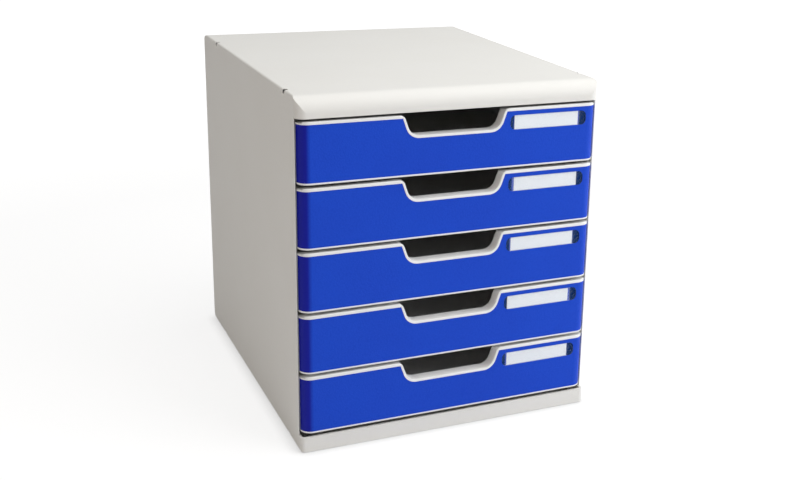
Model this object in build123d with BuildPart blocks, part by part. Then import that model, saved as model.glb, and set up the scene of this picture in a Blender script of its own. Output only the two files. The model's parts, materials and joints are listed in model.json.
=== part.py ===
from build123d import *
import os

# Desktop drawer unit: a five-piece moulded casing, four feet and five sliding drawers.
# Millimetres. +Z is up, the fronts face -Y, +X is to the right of someone who faces them.
# The origin is on the desk, below the middle of the casing.

os.makedirs("parts", exist_ok=True)

# Overall size
unit_width = 288.0
unit_depth = 350.0
unit_height = 325.0
drawer_count = 5

# Heights read from the front: the lowest gap, and the rise from one drawer to the next
lowest_gap_z = 17.0
drawer_pitch = 57.75
drawer_gap = 3.0
lip_gap = 2.4
base_gap = 4.0

# Casing walls
wall = 2.3
belt_wall = 2.6
belt_edge = 1.5
foot_lift = 1.0
bullnose_radius = 14.0
rear_top_radius = 10.0
rear_bottom_radius = 11.0
cover_corner_radius = 9.0
base_corner_radius = 4.0
crease_radius = 2.0
cover_rear_drop = 14.0
base_rear_rise = 14.0
locator_height = 6.0
locator_wall = 2.0
locator_end_gap = 16.0
panel_front_setback = 7.5
panel_front_edge = 0.6
panel_rebate_wall = 0.9
panel_rebate_length = 4.2
panel_rebate_end = 5.6

# Link pockets, where a clip joins two units side by side or one on the other
link_front_y = -136.5
link_rear_y = 117.5
link_length = 6.0
link_depth = 4.0
link_skin = 0.8
link_cavity_reach = 9.0
link_cavity_height = 6.0
link_cavity_tail = 10.0
base_link_front_y = -134.5
base_link_rear_y = 120.0
base_link_length = 9.0
base_link_rise = 2.2

# Shallow field on the back
back_field_inset = 18.0
back_field_depth = 0.8
back_field_radius = 8.0

# Feet
foot_radius = 6.0
foot_thickness = 2.2
foot_chamfer = 0.4
foot_seat_clearance = 0.1
foot_x = 122.0
foot_y = 142.0

# Drawer front
front_side_gap = 1.2
front_depth = 11.0
front_corner_radius = 10.0
front_edge_radius = 0.8
front_flange = 2.2
top_flange = 3.0
rim_land = 2.4
rim_step = 1.4
front_side_wall = 4.0
front_plate = 1.75
top_rim = 2.6
bottom_rim = 1.7
fascia_thickness = 2.0
fascia_recess = 0.25
fascia_end_setback = 9.4

# Finger notch, measured at the edge of the blue fascia
notch_top_half = 49.7
notch_bottom_half = 43.3
notch_depth = 18.1
notch_bottom_radius = 13.0
notch_rim = 2.2
notch_lip_radius = 5.5
notch_overshoot = 12.0
notch_zone_half = 60.0

# Label holder
label_left = 53.2
label_right = 130.4
label_drop = 4.0
label_height = 13.3
label_end_radius = 5.0
label_pocket_depth = 1.1
card_lefts = (57.7, 59.3, 58.3, 56.8, 58.6)
card_length = 64.6
card_thickness = 0.3
card_clearance = 0.2
window_thickness = 0.7
window_clearance = 0.15
window_recess = 0.05
thumb_radius = 2.2
thumb_depth = 1.6
thumb_x = 126.5

# Tray behind the front
tray_half_width = 131.0
tray_wall = 1.8
tray_rear_y = 163.0
tray_floor_lift = 1.6
tray_top_drop = 6.0
tray_corner_radius = 3.0
tray_floor_fillet = 2.0
tray_under_fillet = 2.5

# Slides: a flange on each side of the tray runs on a ledge of the side panel
slide_reach = 8.5
slide_thickness = 2.0
slide_clearance = 0.3
ledge_reach = 8.9
ledge_thickness = 2.4
guide_reach = 5.0
guide_thickness = 2.0
guide_clearance = 0.6
runner_front_y = -161.7
runner_rear_y = 165.0
slide_front_y = -160.0

# Stops that end the travel
drawer_travel = 235.0
stop_gap = 0.3
stop_rib_y = -157.0
stop_rib_length = 4.0
stop_rib_height = 11.0
stop_rib_setback = 1.0
stop_lug_reach = 7.5
stop_lug_height = 9.0
stop_lug_length = 4.0
stop_lug_drop = 4.0

# Cutting solids run past what they cut by this much
overrun = 2.0

# Places worked out from the sizes above
half_width = unit_width / 2
front_y = -unit_depth / 2
rear_y = unit_depth / 2
inner_half = half_width - wall
casing_bottom = foot_lift
base_top = lowest_gap_z - base_gap / 2
top_gap_z = lowest_gap_z + drawer_count * drawer_pitch
lip_bottom = top_gap_z - drawer_gap / 2 + lip_gap
panel_front_y = front_y + panel_front_setback
cover_rear_bottom = unit_height - cover_rear_drop
base_rear_top = casing_bottom + base_rear_rise
front_half = half_width - panel_front_edge - front_side_gap
front_back_y = front_y + front_depth
plate_back_y = front_y + fascia_recess + fascia_thickness + front_plate


def side_outline():
    """Outline of a side panel, inside the edge of the shells that wrap round it."""
    with BuildSketch(Plane.YZ) as outline:
        low = casing_bottom + belt_edge
        high = unit_height - belt_edge
        with Locations((0, (low + high) / 2)):
            Rectangle(unit_depth - 2 * belt_edge, high - low)
        # Inside a sketch on this plane X runs to the rear and Y is up
        fillet(outline.vertices().group_by(Axis.Y)[-1].sort_by(Axis.X)[0], bullnose_radius - belt_edge)
        fillet(outline.vertices().group_by(Axis.Y)[-1].sort_by(Axis.X)[-1], rear_top_radius - belt_edge)
        fillet(outline.vertices().group_by(Axis.Y)[0].sort_by(Axis.X)[-1], rear_bottom_radius - belt_edge)
        # The panel stops behind the fronts, and the lip of the cover reaches back to its corner
        with Locations((front_y, unit_height / 2)):
            Rectangle(2 * panel_front_setback, 2 * unit_height, mode=Mode.SUBTRACT)
        with Locations((front_y, unit_height)):
            Rectangle(2 * cover_corner_radius, 2 * (unit_height - lip_bottom), mode=Mode.SUBTRACT)
    return outline.sketch_local


def silhouette(inset):
    """Side view of the whole casing, drawn in by an inset."""
    with BuildSketch(Plane.YZ) as outline:
        low = casing_bottom + inset
        high = unit_height - inset
        with Locations((0, (low + high) / 2)):
            Rectangle(unit_depth - 2 * inset, high - low)
        fillet(outline.vertices().group_by(Axis.Y)[-1].sort_by(Axis.X)[0], bullnose_radius - inset)
        fillet(outline.vertices().group_by(Axis.Y)[-1].sort_by(Axis.X)[-1], rear_top_radius - inset)
        fillet(outline.vertices().group_by(Axis.Y)[0].sort_by(Axis.X)[-1], rear_bottom_radius - inset)
    return outline.sketch_local


def plan_outline(half, front, rear, corner, rear_corner=0):
    """Plan view of a shape with two rounded front corners, and rounded rear ones if asked."""
    with BuildSketch() as outline:
        with Locations((0, (front + rear) / 2)):
            Rectangle(2 * half, rear - front)
        fillet(outline.vertices().group_by(Axis.Y)[0], corner)
        if rear_corner:
            fillet(outline.vertices().group_by(Axis.Y)[-1], rear_corner)
    return outline.sketch_local


def end_outline():
    """Front view of the casing, with a small radius along its four long edges."""
    with BuildSketch() as outline:
        with Locations((0, (casing_bottom + unit_height) / 2)):
            RectangleRounded(unit_width, unit_height - casing_bottom, crease_radius)
    return outline.sketch_local


side_shape = side_outline()

# Room that both side panels take from the shells that close the casing
with BuildPart() as panel_room:
    for x in (-half_width - overrun, inner_half):
        with BuildSketch(Plane.YZ.offset(x)):
            add(side_shape)
        extrude(amount=wall + overrun)


def casing_form(corner):
    """Full outer form of the casing, with its two upright front corners rounded."""
    with BuildPart() as form:
        with BuildSketch(Plane.YZ.offset(-half_width)):
            add(silhouette(0))
        extrude(amount=unit_width)
        with BuildSketch():
            add(plan_outline(half_width, front_y, rear_y, corner, crease_radius))
        extrude(amount=unit_height, mode=Mode.INTERSECT)
        with BuildSketch(Plane.XZ.offset(-rear_y)):
            add(end_outline())
        extrude(amount=unit_depth, mode=Mode.INTERSECT)
    return form.part


def casing_hollow(corner):
    """Hollow of the casing, one belt wall inside its form."""
    with BuildPart() as hollow:
        with BuildSketch(Plane.YZ.offset(-inner_half)):
            add(silhouette(belt_wall))
        extrude(amount=2 * inner_half)
        with BuildSketch():
            add(plan_outline(inner_half, front_y + belt_wall, rear_y - belt_wall, corner - belt_wall))
        extrude(amount=unit_height, mode=Mode.INTERSECT)
    return hollow.part


def top_link_pockets():
    """Pockets on the two upper long edges, for the clips that join two units."""
    with BuildPart() as pockets:
        for y in (link_front_y, link_rear_y):
            for x in (-half_width, half_width):
                with Locations((x, y, unit_height)):
                    Box(2 * link_depth, link_length, 2 * link_depth)
    return pockets.part


def base_link_pockets():
    """The same on the two lower long edges, longer and less deep."""
    with BuildPart() as pockets:
        for y in (base_link_front_y, base_link_rear_y):
            for x in (-half_width, half_width):
                with Locations((x, y, casing_bottom)):
                    Box(2 * link_depth, base_link_length, 2 * base_link_rise)
    return pockets.part


def link_cavities():
    """Room under the skin behind each upper pocket, where a clip hooks in towards the rear."""
    with BuildPart() as cavities:
        for y in (link_front_y, link_rear_y):
            for side in (-1, 1):
                middle_x = side * (half_width - link_skin - link_cavity_reach / 2)
                middle_z = unit_height - link_skin - link_cavity_height / 2
                with Locations((middle_x, y + link_cavity_tail / 2, middle_z)):
                    Box(link_cavity_reach, link_length + link_cavity_tail, link_cavity_height)
    return cavities.part


def locator_strips(z_low, z_high):
    """Upright strips along both sides that hold a shell between the side panels."""
    with BuildPart() as strips:
        for x in (-1, 1):
            with Locations((x * (inner_half - locator_wall / 2), 0, (z_low + z_high) / 2)):
                Box(locator_wall, unit_depth - 2 * locator_end_gap, z_high - z_low)
    return strips.part


# Top cover: flat top, bullnose lip over the drawers, rolled rear edge
with BuildPart() as top_cover:
    add(casing_form(cover_corner_radius))
    add(casing_hollow(cover_corner_radius), mode=Mode.SUBTRACT)
    with Locations((0, 0, lip_bottom / 2)):
        Box(2 * unit_width, 2 * unit_depth, lip_bottom, mode=Mode.SUBTRACT)
    with Locations((0, rear_y, lip_bottom)):
        Box(2 * unit_width, unit_depth, 2 * (cover_rear_bottom - lip_bottom), mode=Mode.SUBTRACT)
    add(panel_room.part, mode=Mode.SUBTRACT)
    add(locator_strips(unit_height - belt_wall - locator_height, unit_height - belt_wall))
    add(top_link_pockets(), mode=Mode.SUBTRACT)
    add(link_cavities(), mode=Mode.SUBTRACT)
top_cover.part.label = "top_cover"
export_step(top_cover.part, "parts/top_cover.step")

# Base: floor plate, front rail below the lowest drawer, rolled rear edge
with BuildPart() as base_panel:
    add(casing_form(base_corner_radius))
    add(casing_hollow(base_corner_radius), mode=Mode.SUBTRACT)
    with Locations((0, 0, base_top + unit_height / 2)):
        Box(2 * unit_width, 2 * unit_depth, unit_height, mode=Mode.SUBTRACT)
    with Locations((0, rear_y, base_rear_top + unit_height / 2)):
        Box(2 * unit_width, unit_depth, unit_height, mode=Mode.SUBTRACT)
    add(panel_room.part, mode=Mode.SUBTRACT)
    add(
        locator_strips(
            casing_bottom + belt_wall,
            casing_bottom + belt_wall + locator_height,
        )
    )
    add(base_link_pockets(), mode=Mode.SUBTRACT)
    # Shallow seats for the feet
    with Locations(Plane.XY.offset(casing_bottom)):
        with GridLocations(2 * foot_x, 2 * foot_y, 2, 2):
            Cylinder(
                foot_radius + foot_seat_clearance,
                foot_thickness - foot_lift,
                align=(Align.CENTER, Align.CENTER, Align.MIN),
                mode=Mode.SUBTRACT,
            )
base_panel.part.label = "base_panel"
export_step(base_panel.part, "parts/base_panel.step")

# Back panel: flat sheet between the rolled edges of cover and base
with BuildPart() as back_panel:
    add(casing_form(base_corner_radius))
    add(casing_hollow(base_corner_radius), mode=Mode.SUBTRACT)
    with Locations((0, -belt_wall, unit_height / 2)):
        Box(2 * unit_width, unit_depth, 2 * unit_height, mode=Mode.SUBTRACT)
    with Locations((0, rear_y, base_rear_top / 2)):
        Box(2 * unit_width, unit_depth, base_rear_top, mode=Mode.SUBTRACT)
    with Locations((0, rear_y, cover_rear_bottom + unit_height / 2)):
        Box(2 * unit_width, unit_depth, unit_height, mode=Mode.SUBTRACT)
    add(panel_room.part, mode=Mode.SUBTRACT)
    with BuildSketch(Plane.XZ.offset(-rear_y)):
        with Locations((0, (base_rear_top + cover_rear_bottom) / 2)):
            RectangleRounded(
                unit_width - 2 * back_field_inset,
                cover_rear_bottom - base_rear_top - 2 * back_field_inset,
                back_field_radius,
            )
    extrude(amount=back_field_depth, mode=Mode.SUBTRACT)
back_panel.part.label = "back_panel"
export_step(back_panel.part, "parts/back_panel.step")


def drawer_levels(index):
    """Lowest and highest point of a drawer front, counted from the top drawer."""
    top = top_gap_z - drawer_gap / 2 - index * drawer_pitch
    bottom = top - (drawer_pitch - drawer_gap)
    return bottom, top


def front_rebate(side):
    """Rebate inside the front edge of a side panel, where the ends of the fronts lie."""
    with BuildPart() as rebate:
        with BuildSketch(Plane.XY.offset(base_top)):
            with BuildLine():
                Polyline(
                    (side * inner_half, panel_front_y),
                    (side * (half_width - panel_front_edge), panel_front_y),
                    (side * (half_width - panel_rebate_wall), panel_front_y + panel_rebate_length),
                    (side * inner_half, panel_front_y + panel_rebate_end),
                    close=True,
                )
            make_face()
        extrude(amount=lip_bottom - base_top)
    return rebate.part


# Side panels with five ledges, guides and stop ribs
for side, name in ((-1, "left_side_panel"), (1, "right_side_panel")):
    outer = side * half_width
    inner = side * inner_half
    runner_length = runner_rear_y - runner_front_y
    runner_middle = (runner_rear_y + runner_front_y) / 2
    with BuildPart() as side_panel:
        with BuildSketch(Plane.YZ.offset(min(outer, inner))):
            add(side_shape)
        extrude(amount=wall)
        for index in range(drawer_count):
            slide_top = drawer_levels(index)[1] - tray_top_drop
            ledge_top = slide_top - slide_thickness - slide_clearance
            ledge_x = inner - side * ledge_reach / 2
            with Locations((ledge_x, runner_middle, ledge_top - ledge_thickness / 2)):
                Box(ledge_reach, runner_length, ledge_thickness)
            guide_z = slide_top + guide_clearance + guide_thickness / 2
            with Locations((inner - side * guide_reach / 2, runner_middle, guide_z)):
                Box(guide_reach, runner_length, guide_thickness)
            rib_z = ledge_top - ledge_thickness - stop_rib_height / 2
            rib_y = stop_rib_y + stop_rib_length / 2
            rib_reach = ledge_reach - stop_rib_setback
            with Locations((inner - side * rib_reach / 2, rib_y, rib_z)):
                Box(rib_reach, stop_rib_length, stop_rib_height)
        add(front_rebate(side), mode=Mode.SUBTRACT)
        add(top_link_pockets(), mode=Mode.SUBTRACT)
        add(link_cavities(), mode=Mode.SUBTRACT)
        add(base_link_pockets(), mode=Mode.SUBTRACT)
    side_panel.part.label = name
    export_step(side_panel.part, f"parts/{name}.step")

# Feet: four soft pads set into the floor plate
foot_places = {
    "foot_front_left": (-foot_x, -foot_y),
    "foot_front_right": (foot_x, -foot_y),
    "foot_rear_left": (-foot_x, foot_y),
    "foot_rear_right": (foot_x, foot_y),
}
for name, (x, y) in foot_places.items():
    with BuildPart() as foot:
        with Locations((x, y, 0)):
            Cylinder(foot_radius, foot_thickness, align=(Align.CENTER, Align.CENTER, Align.MIN))
        chamfer(foot.edges().group_by(Axis.Z)[0], foot_chamfer)
    foot.part.label = name
    export_step(foot.part, f"parts/{name}.step")


def notch_prism(blue_top, grow):
    """Finger notch as a prism through the front, grown or drawn in from the blue edge."""
    low = blue_top - notch_depth
    high = blue_top + notch_overshoot
    slope = (notch_top_half - notch_bottom_half) / notch_depth
    high_half = notch_top_half + slope * notch_overshoot
    with BuildPart() as prism:
        with BuildSketch(Plane.XZ.offset(-front_y + overrun)) as outline:
            with BuildLine():
                Polyline(
                    (-high_half, high),
                    (-notch_bottom_half, low),
                    (notch_bottom_half, low),
                    (high_half, high),
                    close=True,
                )
            make_face()
            fillet(outline.vertices().group_by(Axis.Y)[0], notch_bottom_radius)
            if grow:
                offset(amount=grow, kind=Kind.INTERSECTION)
        extrude(amount=-(front_depth + 2 * overrun))
    return prism.part


def plan_prism(half, front, rear, corner, low, high):
    """Upright prism on a plan with rounded front corners."""
    with BuildPart() as prism:
        with BuildSketch(Plane.XY.offset(low)):
            add(plan_outline(half, front, rear, corner))
        extrude(amount=high - low)
    return prism.part


def fascia_zone(blue_low, blue_high):
    """Room for the fascia: everything outside its inner face, between its edges."""
    skin = fascia_recess + fascia_thickness
    zone_rear = front_y + fascia_end_setback
    with BuildPart() as zone:
        with BuildSketch(Plane.XZ.offset(-front_y + overrun)) as outline:
            with Locations((0, (blue_low + blue_high) / 2)):
                Rectangle(unit_width, blue_high - blue_low)
        extrude(amount=-(zone_rear - front_y + overrun))
        add(
            plan_prism(
                front_half - skin,
                front_y + skin,
                rear_y,
                front_corner_radius - skin,
                blue_low - overrun,
                blue_high + overrun,
            ),
            mode=Mode.SUBTRACT,
        )
        add(notch_prism(blue_high, 0), mode=Mode.SUBTRACT)
    return zone.part


def label_prism(grow, low, high, front, depth):
    """Label strip with round ends, lying behind the plane y = front."""
    with BuildPart() as strip:
        with BuildSketch(Plane.XZ.offset(-front)):
            with Locations(((label_left + label_right) / 2, (low + high) / 2)):
                RectangleRounded(
                    label_right - label_left + 2 * grow,
                    high - low + 2 * grow,
                    label_end_radius,
                )
        extrude(amount=-depth)
    return strip.part


def front_cavity(low, high, blue_high):
    """Hollow behind the front plate, inside the flanges of the rim and of the notch."""
    with BuildPart() as cavity:
        add(
            plan_prism(
                front_half - front_side_wall,
                plate_back_y,
                front_back_y + overrun,
                front_corner_radius - front_side_wall,
                low + front_flange,
                high - top_flange,
            )
        )
        add(notch_prism(blue_high, 0), mode=Mode.SUBTRACT)
    return cavity.part


def tray_inside(tray_low, tray_high):
    """Room inside a tray, with rounded corners and a rounded foot to its walls."""
    floor_z = tray_low + tray_wall
    inside_length = tray_rear_y - tray_wall - plate_back_y
    with BuildPart() as inside:
        with Locations((0, plate_back_y + inside_length / 2, floor_z)):
            Box(
                2 * (tray_half_width - tray_wall),
                inside_length,
                tray_high - floor_z + overrun,
                align=(Align.CENTER, Align.CENTER, Align.MIN),
            )
        fillet(inside.edges().filter_by(Axis.Z), tray_corner_radius)
        fillet(inside.edges().group_by(Axis.Z)[0], tray_floor_fillet)
    return inside.part


def thumb_hole(z, front):
    """Round nail hole at the right end of the label holder, to lift the clear strip."""
    with BuildPart() as hole:
        with BuildSketch(Plane.XZ.offset(-front)):
            with Locations((thumb_x, z)):
                Circle(thumb_radius)
        extrude(amount=-thumb_depth)
    return hole.part


for index in range(drawer_count):
    number = index + 1
    low, high = drawer_levels(index)
    blue_high = high - top_rim
    blue_low = low + bottom_rim
    label_high = blue_high - label_drop
    label_low = label_high - label_height
    label_middle = (label_high + label_low) / 2
    skin_y = front_y + fascia_recess

    # Blue fascia, wrapped round both front corners
    with BuildPart() as fascia:
        add(fascia_zone(blue_low, blue_high))
        add(
            plan_prism(
                front_half - fascia_recess,
                skin_y,
                rear_y,
                front_corner_radius - fascia_recess,
                blue_low - overrun,
                blue_high + overrun,
            ),
            mode=Mode.INTERSECT,
        )
        add(label_prism(0, label_low, label_high, skin_y, label_pocket_depth), mode=Mode.SUBTRACT)
        add(thumb_hole(label_middle, skin_y), mode=Mode.SUBTRACT)
    fascia.part.label = f"drawer_fascia_{number}"
    export_step(fascia.part, f"parts/drawer_fascia_{number}.step")

    # Front of the tray: a pan open to the rear, with a rim and a flanged finger notch
    with BuildPart() as tray_front:
        add(plan_prism(front_half, front_y, front_back_y, front_corner_radius, low, high))
        add(notch_prism(blue_high, -notch_rim), mode=Mode.SUBTRACT)
        lengthwise = tray_front.edges().filter_by(Axis.Y)
        across = lengthwise.filter_by_position(Axis.X, -notch_zone_half, notch_zone_half)
        fillet(across.group_by(Axis.Z)[-1], notch_lip_radius)
        at_rear = tray_front.edges().group_by(Axis.Y)[-1]
        upright = tray_front.edges().filter_by(Axis.Z)
        lengthwise = tray_front.edges().filter_by(Axis.Y)
        across = lengthwise.filter_by_position(Axis.X, -notch_zone_half, notch_zone_half)
        fillet(tray_front.edges() - at_rear - upright - across, front_edge_radius)
        # Behind the rim the top steps down, so that the gap above it stays dark
        with Locations((0, front_y + rim_land + front_depth / 2, high)):
            Box(unit_width, front_depth, 2 * rim_step, mode=Mode.SUBTRACT)
        add(fascia_zone(blue_low, blue_high), mode=Mode.SUBTRACT)
        add(front_cavity(low, high, blue_high), mode=Mode.SUBTRACT)

    # Tray: floor, four walls, slide flanges and stop lugs
    tray_low = low + tray_floor_lift
    tray_high = high - tray_top_drop
    tray_length = tray_rear_y - plate_back_y
    tray_middle = (tray_rear_y + plate_back_y) / 2
    with BuildPart() as tray:
        with Locations((0, tray_middle, (tray_low + tray_high) / 2)):
            Box(2 * tray_half_width, tray_length, tray_high - tray_low)
        fillet(tray.edges().filter_by(Axis.Z).group_by(Axis.Y)[-1], tray_corner_radius + tray_wall)
        under = tray.edges().group_by(Axis.Z)[0]
        fillet(under - under.group_by(Axis.Y)[0], tray_under_fillet)
        add(tray_inside(tray_low, tray_high), mode=Mode.SUBTRACT)
        for side in (-1, 1):
            slide_length = tray_rear_y - tray_corner_radius - tray_wall - slide_front_y
            slide_x = side * (tray_half_width - tray_wall / 2 + (slide_reach + tray_wall / 2) / 2)
            slide_z = tray_high - slide_thickness / 2
            with Locations((slide_x, slide_front_y + slide_length / 2, slide_z)):
                Box(slide_reach + tray_wall / 2, slide_length, slide_thickness)
            lug_y = stop_rib_y + stop_rib_length + drawer_travel + stop_gap + stop_lug_length / 2
            lug_z = tray_high - slide_thickness - stop_lug_drop - stop_lug_height / 2
            lug_x = side * (tray_half_width + (stop_lug_reach - tray_wall / 2) / 2)
            with Locations((lug_x, lug_y, lug_z)):
                Box(stop_lug_reach + tray_wall / 2, stop_lug_length, stop_lug_height)
        add(tray_front.part)
    tray.part.label = f"drawer_tray_{number}"
    export_step(tray.part, f"parts/drawer_tray_{number}.step")

    # Paper card and the clear strip that holds it
    card_front_y = skin_y + label_pocket_depth - card_thickness
    with BuildPart() as card:
        with BuildSketch(Plane.XZ.offset(-card_front_y)):
            with Locations((card_lefts[index] + card_length / 2, label_middle)):
                Rectangle(card_length, label_height - 2 * card_clearance)
        extrude(amount=-card_thickness)
    card.part.label = f"label_card_{number}"
    export_step(card.part, f"parts/label_card_{number}.step")

    with BuildPart() as window:
        add(
            label_prism(
                -window_clearance,
                label_low,
                label_high,
                skin_y + window_recess,
                window_thickness,
            )
        )
        add(thumb_hole(label_middle, skin_y), mode=Mode.SUBTRACT)
    window.part.label = f"label_window_{number}"
    export_step(window.part, f"parts/label_window_{number}.step")
    print("drawer", number, "from", round(low, 2), "to", round(high, 2))
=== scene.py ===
import json
import math

import bpy
from mathutils import Matrix, Vector

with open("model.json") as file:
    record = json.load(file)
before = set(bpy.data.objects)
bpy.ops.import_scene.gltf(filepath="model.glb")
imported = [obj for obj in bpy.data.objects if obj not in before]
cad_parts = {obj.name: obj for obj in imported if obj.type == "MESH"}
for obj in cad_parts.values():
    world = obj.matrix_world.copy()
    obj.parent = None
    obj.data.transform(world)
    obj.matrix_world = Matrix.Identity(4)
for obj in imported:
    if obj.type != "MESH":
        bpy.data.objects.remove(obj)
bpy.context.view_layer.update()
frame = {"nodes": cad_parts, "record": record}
nodes = frame["nodes"]
print("frame loaded:", len(nodes), "nodes")


class Wire:
    # a socket that can be added, multiplied and so on
    def __init__(self, tree, socket):
        self.tree = tree
        self.socket = socket

    def math(self, operation, a, b=None):
        node = self.tree.nodes.new("ShaderNodeMath")
        node.operation = operation
        for slot, value in zip(node.inputs, (a, b)):
            if isinstance(value, Wire):
                self.tree.links.new(value.socket, slot)
            elif value is not None:
                slot.default_value = value
        return Wire(self.tree, node.outputs[0])

    def __add__(self, other):
        return self.math("ADD", self, other)

    def __radd__(self, other):
        return self.math("ADD", other, self)

    def __sub__(self, other):
        return self.math("SUBTRACT", self, other)

    def __rsub__(self, other):
        return self.math("SUBTRACT", other, self)

    def __mul__(self, other):
        return self.math("MULTIPLY", self, other)

    def __rmul__(self, other):
        return self.math("MULTIPLY", other, self)


class Material:
    # a node material on a principled shader, and the one way to add any other node
    def __init__(self, name):
        self.material = bpy.data.materials.new(name)
        self.material.use_nodes = True
        self.tree = self.material.node_tree
        self.shader = self.tree.nodes["Principled BSDF"]
        self.output = self.tree.nodes["Material Output"]

    def node(self, kind, settings=None, out=0, **sockets):
        made = self.tree.nodes.new("ShaderNode" + kind)
        for key, value in (settings or {}).items():
            setattr(made, key, value)
        for key, value in sockets.items():
            slot = self.pick(made.inputs, key)
            self.put(slot, value)
        return Wire(self.tree, made.outputs[out])

    def pick(self, inputs, key):
        # i6 is the seventh socket, any other key is the socket's name
        if key[0] == "i" and key[1:].isdigit():
            return inputs[int(key[1:])]
        return inputs[key.replace("_", " ")]

    def put(self, slot, value):
        if isinstance(value, Wire):
            self.tree.links.new(value.socket, slot)
        else:
            slot.default_value = value

    def set(self, **sockets):
        for key, value in sockets.items():
            self.put(self.shader.inputs[key.replace("_", " ")], value)

    def math(self, operation, value):
        return self.node("Math", {"operation": operation}, i0=value)

    def place(self):
        # the object's own coordinates, which stay with the part when it moves
        return self.node("TexCoord", out=3)

    def noise(self, scale, detail=2.0, roughness=0.5):
        return self.node("TexNoise", Vector=self.place(), Scale=scale, Detail=detail, Roughness=roughness)

    def tint(self, factor, first, second):
        # Mix for colours: sockets 6 and 7 are its colours
        return self.node("Mix", {"data_type": "RGBA"}, out=2, i0=factor, i6=first, i7=second)

    def ramp(self, value, low, high):
        return self.node("MapRange", i0=value, i1=low, i2=high)

    def bump(self, height, strength, distance):
        return self.node("Bump", Height=height, Strength=strength, Distance=distance)


def colour(red, green, blue):
    return (red, green, blue, 1.0)


# Moulded grey casing: matt spark-eroded grain, faint flow in the colour
casing = {
    "base": colour(0.800, 0.795, 0.770),
    "warm": colour(0.775, 0.765, 0.735),
    "roughness": (0.52, 0.62),
    "gloss": 0.22,
    "flowScale": 9,
    "speckScale": 420,
    "speckShare": 0.18,
    "grainScale": 1500,
    "grainStrength": 0.10,
    "grainDepth": 0.0004,   # metres
}


def casingPlastic():
    m = Material("casing_grey_plastic")
    flow = m.noise(casing["flowScale"], 3)
    speck = m.noise(casing["speckScale"], 2)
    shade = m.ramp(flow, 0.35, 0.70)
    m.set(Base_Color=m.tint(shade * 0.5 + speck * casing["speckShare"], casing["base"], casing["warm"]))
    low, high = casing["roughness"]
    m.set(Roughness=low + (high - low) * m.ramp(speck, 0.3, 0.7))
    grain = m.noise(casing["grainScale"], 3, 0.6)
    m.set(Normal=m.bump(grain, casing["grainStrength"], casing["grainDepth"]))
    m.set(Specular_IOR_Level=casing["gloss"])
    return m.material


# Drawer plastic: the same grey, a little whiter and smoother
drawer = {
    "base": colour(0.870, 0.873, 0.875),
    "warm": colour(0.845, 0.845, 0.838),
    "roughness": (0.38, 0.48),
    "gloss": 0.45,
    "flowScale": 12,
    "flowShare": 0.6,
    "speckScale": 300,
    "grainScale": 900,
    "grainStrength": 0.05,
    "grainDepth": 0.0003,
}


def drawerPlastic():
    m = Material("drawer_grey_plastic")
    flow = m.noise(drawer["flowScale"], 3)
    speck = m.noise(drawer["speckScale"], 2)
    shade = m.ramp(flow, 0.35, 0.7) * drawer["flowShare"]
    m.set(Base_Color=m.tint(shade, drawer["base"], drawer["warm"]))
    low, high = drawer["roughness"]
    m.set(Roughness=low + (high - low) * m.ramp(speck, 0.3, 0.7))
    grain = m.noise(drawer["grainScale"], 2, 0.5)
    m.set(Normal=m.bump(grain, drawer["grainStrength"], drawer["grainDepth"]))
    m.set(Specular_IOR_Level=drawer["gloss"])
    return m.material


# Label holder: the pocket that the card and the clear strip lie in, metres along X and Y, with painted
# shade for its floor
holder = {
    "middle": 0.0903,
    "cardHalf": 0.0326,
    "halfLength": 0.0404,
    "fade": 0.0012,
    "floorFrom": -0.1744,
    "floorTo": -0.1740,
    # painted shade: dark blue that stands for the shadow on the pocket floor beside the card
    "floor": colour(0.002, 0.032, 0.170),
}


# Blue fascia: deep blue with a fine pebbled surface, painted shade on its left-facing ends and on the
# label pocket floor
fascia = {
    "base": colour(0.004, 0.065, 0.610),
    "deep": colour(0.005, 0.050, 0.530),
    "end": colour(0.001, 0.006, 0.330),   # painted shade: the deepest blue, painted on the left-facing ends
    "endFrom": 0.03,        # how far the surface has turned left where that painted shade starts
    "endTo": 0.36,
    "roughness": (0.46, 0.60),
    "gloss": 0.2,
    "pebbleScale": 620,
    "fineScale": 1700,
    "flowScale": 16,
    "pebbleStrength": 0.22,
    "pebbleDepth": 0.0005,
}


def besideCard(m):
    # 0 behind the card, 1 in the strip's own length left and right of it
    offset = m.math("ABSOLUTE", m.node("SeparateXYZ", Vector=m.place()) - holder["middle"])
    past = m.ramp(offset, holder["cardHalf"], holder["cardHalf"] + holder["fade"])
    return past * (1 - m.ramp(offset, holder["halfLength"], holder["halfLength"] + holder["fade"]))


def fasciaPlastic():
    m = Material("fascia_blue_plastic")
    smooth = {"feature": "SMOOTH_F1"}
    cells = m.node("TexVoronoi", smooth, Vector=m.place(), Scale=fascia["pebbleScale"], Smoothness=0.7)
    fine = m.noise(fascia["fineScale"], 2)
    flow = m.noise(fascia["flowScale"], 3)
    pebble = cells * 0.7 + fine * 0.3
    shade = m.ramp(pebble, 0.2, 0.7) * 0.35 + m.ramp(flow, 0.35, 0.7) * 0.3
    face = m.tint(shade, fascia["base"], fascia["deep"])
    # painted shade: surfaces facing left take the deeper blue
    leftward = 0 - m.node("SeparateXYZ", Vector=m.node("TexCoord", out=1))
    leftShadeAmount = m.ramp(leftward, fascia["endFrom"], fascia["endTo"])
    faceWithLeftShade = m.tint(leftShadeAmount, face, fascia["end"])
    depth = m.node("SeparateXYZ", out=1, Vector=m.place())
    # painted shade on the pocket floor left and right of the card
    pocketShade = besideCard(m) * m.ramp(depth, holder["floorFrom"], holder["floorTo"])
    m.set(Base_Color=m.tint(pocketShade, faceWithLeftShade, holder["floor"]))
    low, high = fascia["roughness"]
    m.set(Roughness=low + (high - low) * m.ramp(pebble, 0.2, 0.7))
    m.set(Normal=m.bump(1 - pebble, fascia["pebbleStrength"], fascia["pebbleDepth"]))
    m.set(Specular_IOR_Level=fascia["gloss"])
    return m.material
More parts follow.
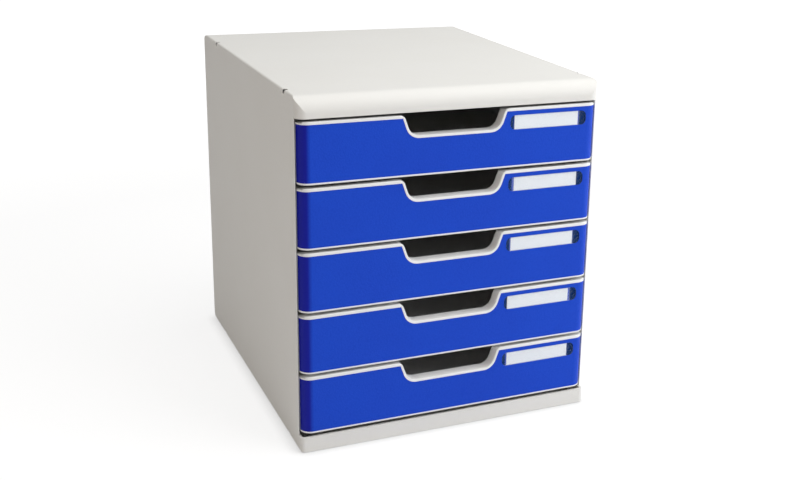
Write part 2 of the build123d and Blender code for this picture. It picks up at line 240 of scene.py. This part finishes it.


# Clear strip over the card: a thin film with a painted highlight along its cut edges and painted shade
# beside the card
window = {
    "film": colour(0.80, 0.90, 1.00),
    "filmDeep": colour(0.72, 0.84, 0.96),
    "filmAlpha": 0.10,
    # painted highlight: the pale film shows more strongly along the cut edges
    "edgeHighlightAlpha": 0.55,
    "roughness": 0.12,
    "waveScale": 90,
    "endTone": colour(0.005, 0.050, 0.140),   # painted shade: beside the card the strip takes the dark tone of the shaded pocket under it
    "endAlpha": 0.14,
    "endEdge": 0.7,         # how much of that painted shade its edges take there
}


def clearPlastic():
    m = Material("label_clear_plastic")
    facing = m.node("TexCoord", out=1)
    across = m.node("SeparateXYZ", out=1, Vector=facing)
    flat = m.math("ABSOLUTE", across)
    wave = m.noise(window["waveScale"], 2)
    # painted shade beside the card, where the strip lies over the shaded pocket
    stripShade = besideCard(m) * (window["endEdge"] + (1 - window["endEdge"]) * flat)
    film = m.tint(wave * 0.4, window["film"], window["filmDeep"])
    m.set(Base_Color=m.tint(stripShade, film, window["endTone"]))
    m.set(Roughness=window["roughness"] + 0.05 * wave)
    clear = window["filmAlpha"] + (window["endAlpha"] - window["filmAlpha"]) * stripShade
    # painted highlight along the strip's cut edges
    edgeHighlight = (window["edgeHighlightAlpha"] - window["filmAlpha"]) * (1 - flat)
    m.set(Alpha=clear + edgeHighlight)
    return m.material


# Blank card behind the strip
card = {
    "base": colour(0.930, 0.945, 0.965),
    "fibre": colour(0.900, 0.915, 0.940),
    "fibreScale": 700,
    "roughness": 0.75,
    "gloss": 0.25,
}


def cardPaper():
    m = Material("label_card_paper")
    fibre = m.node("TexNoise", Vector=m.place(), Scale=card["fibreScale"], Detail=4.0)
    m.set(Base_Color=m.tint(m.ramp(fibre, 0.4, 0.65) * 0.6, card["base"], card["fibre"]))
    m.set(Roughness=card["roughness"] + 0.1 * fibre)
    m.set(Normal=m.bump(fibre, 0.08, 0.0002))
    m.set(Specular_IOR_Level=card["gloss"])
    return m.material


# Grey anti-slip pads
foot = {
    "base": colour(0.16, 0.16, 0.165),
    "dust": colour(0.26, 0.255, 0.25),
    "dustScale": 160,
    "grainScale": 900,
    "roughness": 0.7,
}


def footRubber():
    m = Material("foot_grey_rubber")
    dust = m.noise(foot["dustScale"], 3)
    m.set(Base_Color=m.tint(m.ramp(dust, 0.4, 0.7) * 0.6, foot["base"], foot["dust"]))
    m.set(Roughness=foot["roughness"] + 0.15 * dust)
    m.set(Normal=m.bump(m.noise(foot["grainScale"], 2), 0.2, 0.0003))
    return m.material


finishes = {
    "casing_grey": casingPlastic(),
    "drawer_grey": drawerPlastic(),
    "fascia_blue": fasciaPlastic(),
    "label_clear": clearPlastic(),
    "label_paper": cardPaper(),
    "foot_rubber": footRubber(),
}
slotOf = {part["node"]: part["material_slot"] for part in frame["record"]["subparts"]}
for name, node in nodes.items():
    node.data.materials.clear()
    node.data.materials.append(finishes[slotOf[name]])
print("finishes on", len(nodes), "nodes")


# Floor: white to the eye, and it still takes the shadow, with a painted contact shadow under the edges
floor = {
    "size": 14.0,
    "glow": 0.80,
    "farGlow": 1.0,
    "farFrom": 0.7,       # metres from the middle where the glow starts to rise
    "farTo": 1.8,
    "contactShadowReach": 0.012,     # reach of the painted contact shadow under the edges, metres
    "contactShadowDepth": 0.45,
    "paint": colour(0.27, 0.27, 0.27),
    "bounce": colour(0.80, 0.80, 0.80),
}


def floorMaterial():
    # glow for the camera and for reflections, a plain bounce for all other light
    m = Material("white_sweep")
    m.node("LightPath")
    rays = m.tree.nodes[-1].outputs
    camera, glossy, through = (
        Wire(m.tree, rays[key]) for key in ("Is Camera Ray", "Is Glossy Ray", "Is Transmission Ray")
    )
    seen = m.node("Clamp", Value=camera + glossy + through)
    away = m.node("VectorMath", {"operation": "LENGTH"}, out=1, i0=m.node("TexCoord", out=3))
    far = m.ramp(away, floor["farFrom"], floor["farTo"])
    # painted contact shadow: the glow darkens where the object's edges come close
    near = m.node("AmbientOcclusion", {"samples": 8}, out=1, Distance=floor["contactShadowReach"])
    shade = 1 - floor["contactShadowDepth"] * (1 - near)
    strength = (floor["glow"] + (floor["farGlow"] - floor["glow"]) * far) * shade
    lit = m.node("BsdfDiffuse", Color=floor["paint"])
    glow = m.node("Emission", Color=colour(1, 1, 1), Strength=strength)
    both = m.node("AddShader", i0=lit, i1=glow)
    plain = m.node("BsdfDiffuse", Color=floor["bounce"])
    m.tree.links.new(m.node("MixShader", i0=seen, i1=plain, i2=both).socket, m.output.inputs["Surface"])
    m.tree.nodes.remove(m.shader)
    return m.material


def buildFloor():
    half = floor["size"] / 2
    mesh = bpy.data.meshes.new("studio_floor")
    corners = [(-half, -half, 0), (half, -half, 0), (half, half, 0), (-half, half, 0)]
    mesh.from_pydata(corners, [], [(0, 1, 2, 3)])
    mesh.materials.append(floorMaterial())
    sheet = bpy.data.objects.new("studio_floor", mesh)
    bpy.context.scene.collection.objects.link(sheet)


# Lights: soft ones close on the right, high on the right, above, and a weak one on the left
lamps = {
    "sideSoft": {"at": (1.20, -0.60, 0.60), "size": 0.8, "watts": 5.6, "tint": (0.98, 0.99, 1.0)},
    "keySoft": {"at": (0.90, -1.20, 1.20), "size": 1.0, "watts": 9.4, "tint": (0.98, 0.99, 1.0)},
    "topSoft": {"at": (0.35, -0.25, 1.75), "size": 1.3, "watts": 15.0, "tint": (1.0, 1.0, 0.99)},
    "leftFill": {"at": (-1.6, -1.0, 0.8), "size": 1.3, "watts": 4.2, "tint": (1.0, 0.81, 0.63)},
}
lampAim = (0.05, -0.05, 0.16)
world = {"strength": 0.29, "tint": colour(1.0, 0.99, 0.98)}


def buildLights():
    for name, lamp in lamps.items():
        data = bpy.data.lights.new(name, "AREA")
        data.shape = "SQUARE"
        data.size = lamp["size"]
        data.energy = lamp["watts"]
        data.color = lamp["tint"]
        made = bpy.data.objects.new(name, data)
        made.location = lamp["at"]
        made.rotation_euler = (Vector(lampAim) - Vector(lamp["at"])).to_track_quat("-Z", "Y").to_euler()
        bpy.context.scene.collection.objects.link(made)


def buildWorld():
    made = bpy.data.worlds.new("studio")
    bpy.context.scene.world = made
    made.use_nodes = True
    tree = made.node_tree
    tree.nodes.clear()
    out = tree.nodes.new("ShaderNodeOutputWorld")
    path = tree.nodes.new("ShaderNodeLightPath")
    dim = tree.nodes.new("ShaderNodeBackground")
    dim.inputs["Color"].default_value = world["tint"]
    dim.inputs["Strength"].default_value = world["strength"]
    white = tree.nodes.new("ShaderNodeBackground")
    white.inputs["Color"].default_value = colour(1, 1, 1)
    white.inputs["Strength"].default_value = 1.0
    mix = tree.nodes.new("ShaderNodeMixShader")
    tree.links.new(path.outputs["Is Camera Ray"], mix.inputs[0])
    tree.links.new(dim.outputs[0], mix.inputs[1])
    tree.links.new(white.outputs[0], mix.inputs[2])
    tree.links.new(mix.outputs[0], out.inputs["Surface"])


buildFloor()
buildLights()
buildWorld()
print("floor, lights and world built")

# Camera: fitted to the photograph's edges
lens = {
    "azimuth": -25.67,      # degrees round from straight ahead, towards the left side
    "elevation": 16.77,
    "roll": 1.90,
    "focalPixels": 1194.2,
    "place": (-0.4109, -1.1117, 0.5287),
    "centre": (493.9, 205.0),  # where the lens axis meets the picture
    "picture": (800, 480),
    "sensor": 36.0,
    "clip": (0.01, 50),
}


def buildCamera():
    data = bpy.data.cameras.new("photoCamera")
    wide, high = lens["picture"]
    data.sensor_width = lens["sensor"]
    data.lens = lens["focalPixels"] / wide * lens["sensor"]
    data.shift_x = (wide / 2 - lens["centre"][0]) / wide
    data.shift_y = (lens["centre"][1] - high / 2) / wide
    data.clip_start, data.clip_end = lens["clip"]
    az, el, roll = (math.radians(lens[key]) for key in ("azimuth", "elevation", "roll"))
    back = Vector((math.sin(az) * math.cos(el), -math.cos(az) * math.cos(el), math.sin(el)))
    right = (-back).cross(Vector((0, 0, 1))).normalized()
    up = right.cross(-back)
    turnedRight = right * math.cos(roll) + up * math.sin(roll)
    turnedUp = up * math.cos(roll) - right * math.sin(roll)
    axes = Matrix((turnedRight, turnedUp, back)).transposed().to_4x4()
    made = bpy.data.objects.new("photoCamera", data)
    made.matrix_world = Matrix.Translation(Vector(lens["place"])) @ axes
    bpy.context.scene.collection.objects.link(made)
    bpy.context.scene.camera = made


buildCamera()
bpy.context.scene.view_settings.view_transform = "Standard"
print("camera set")
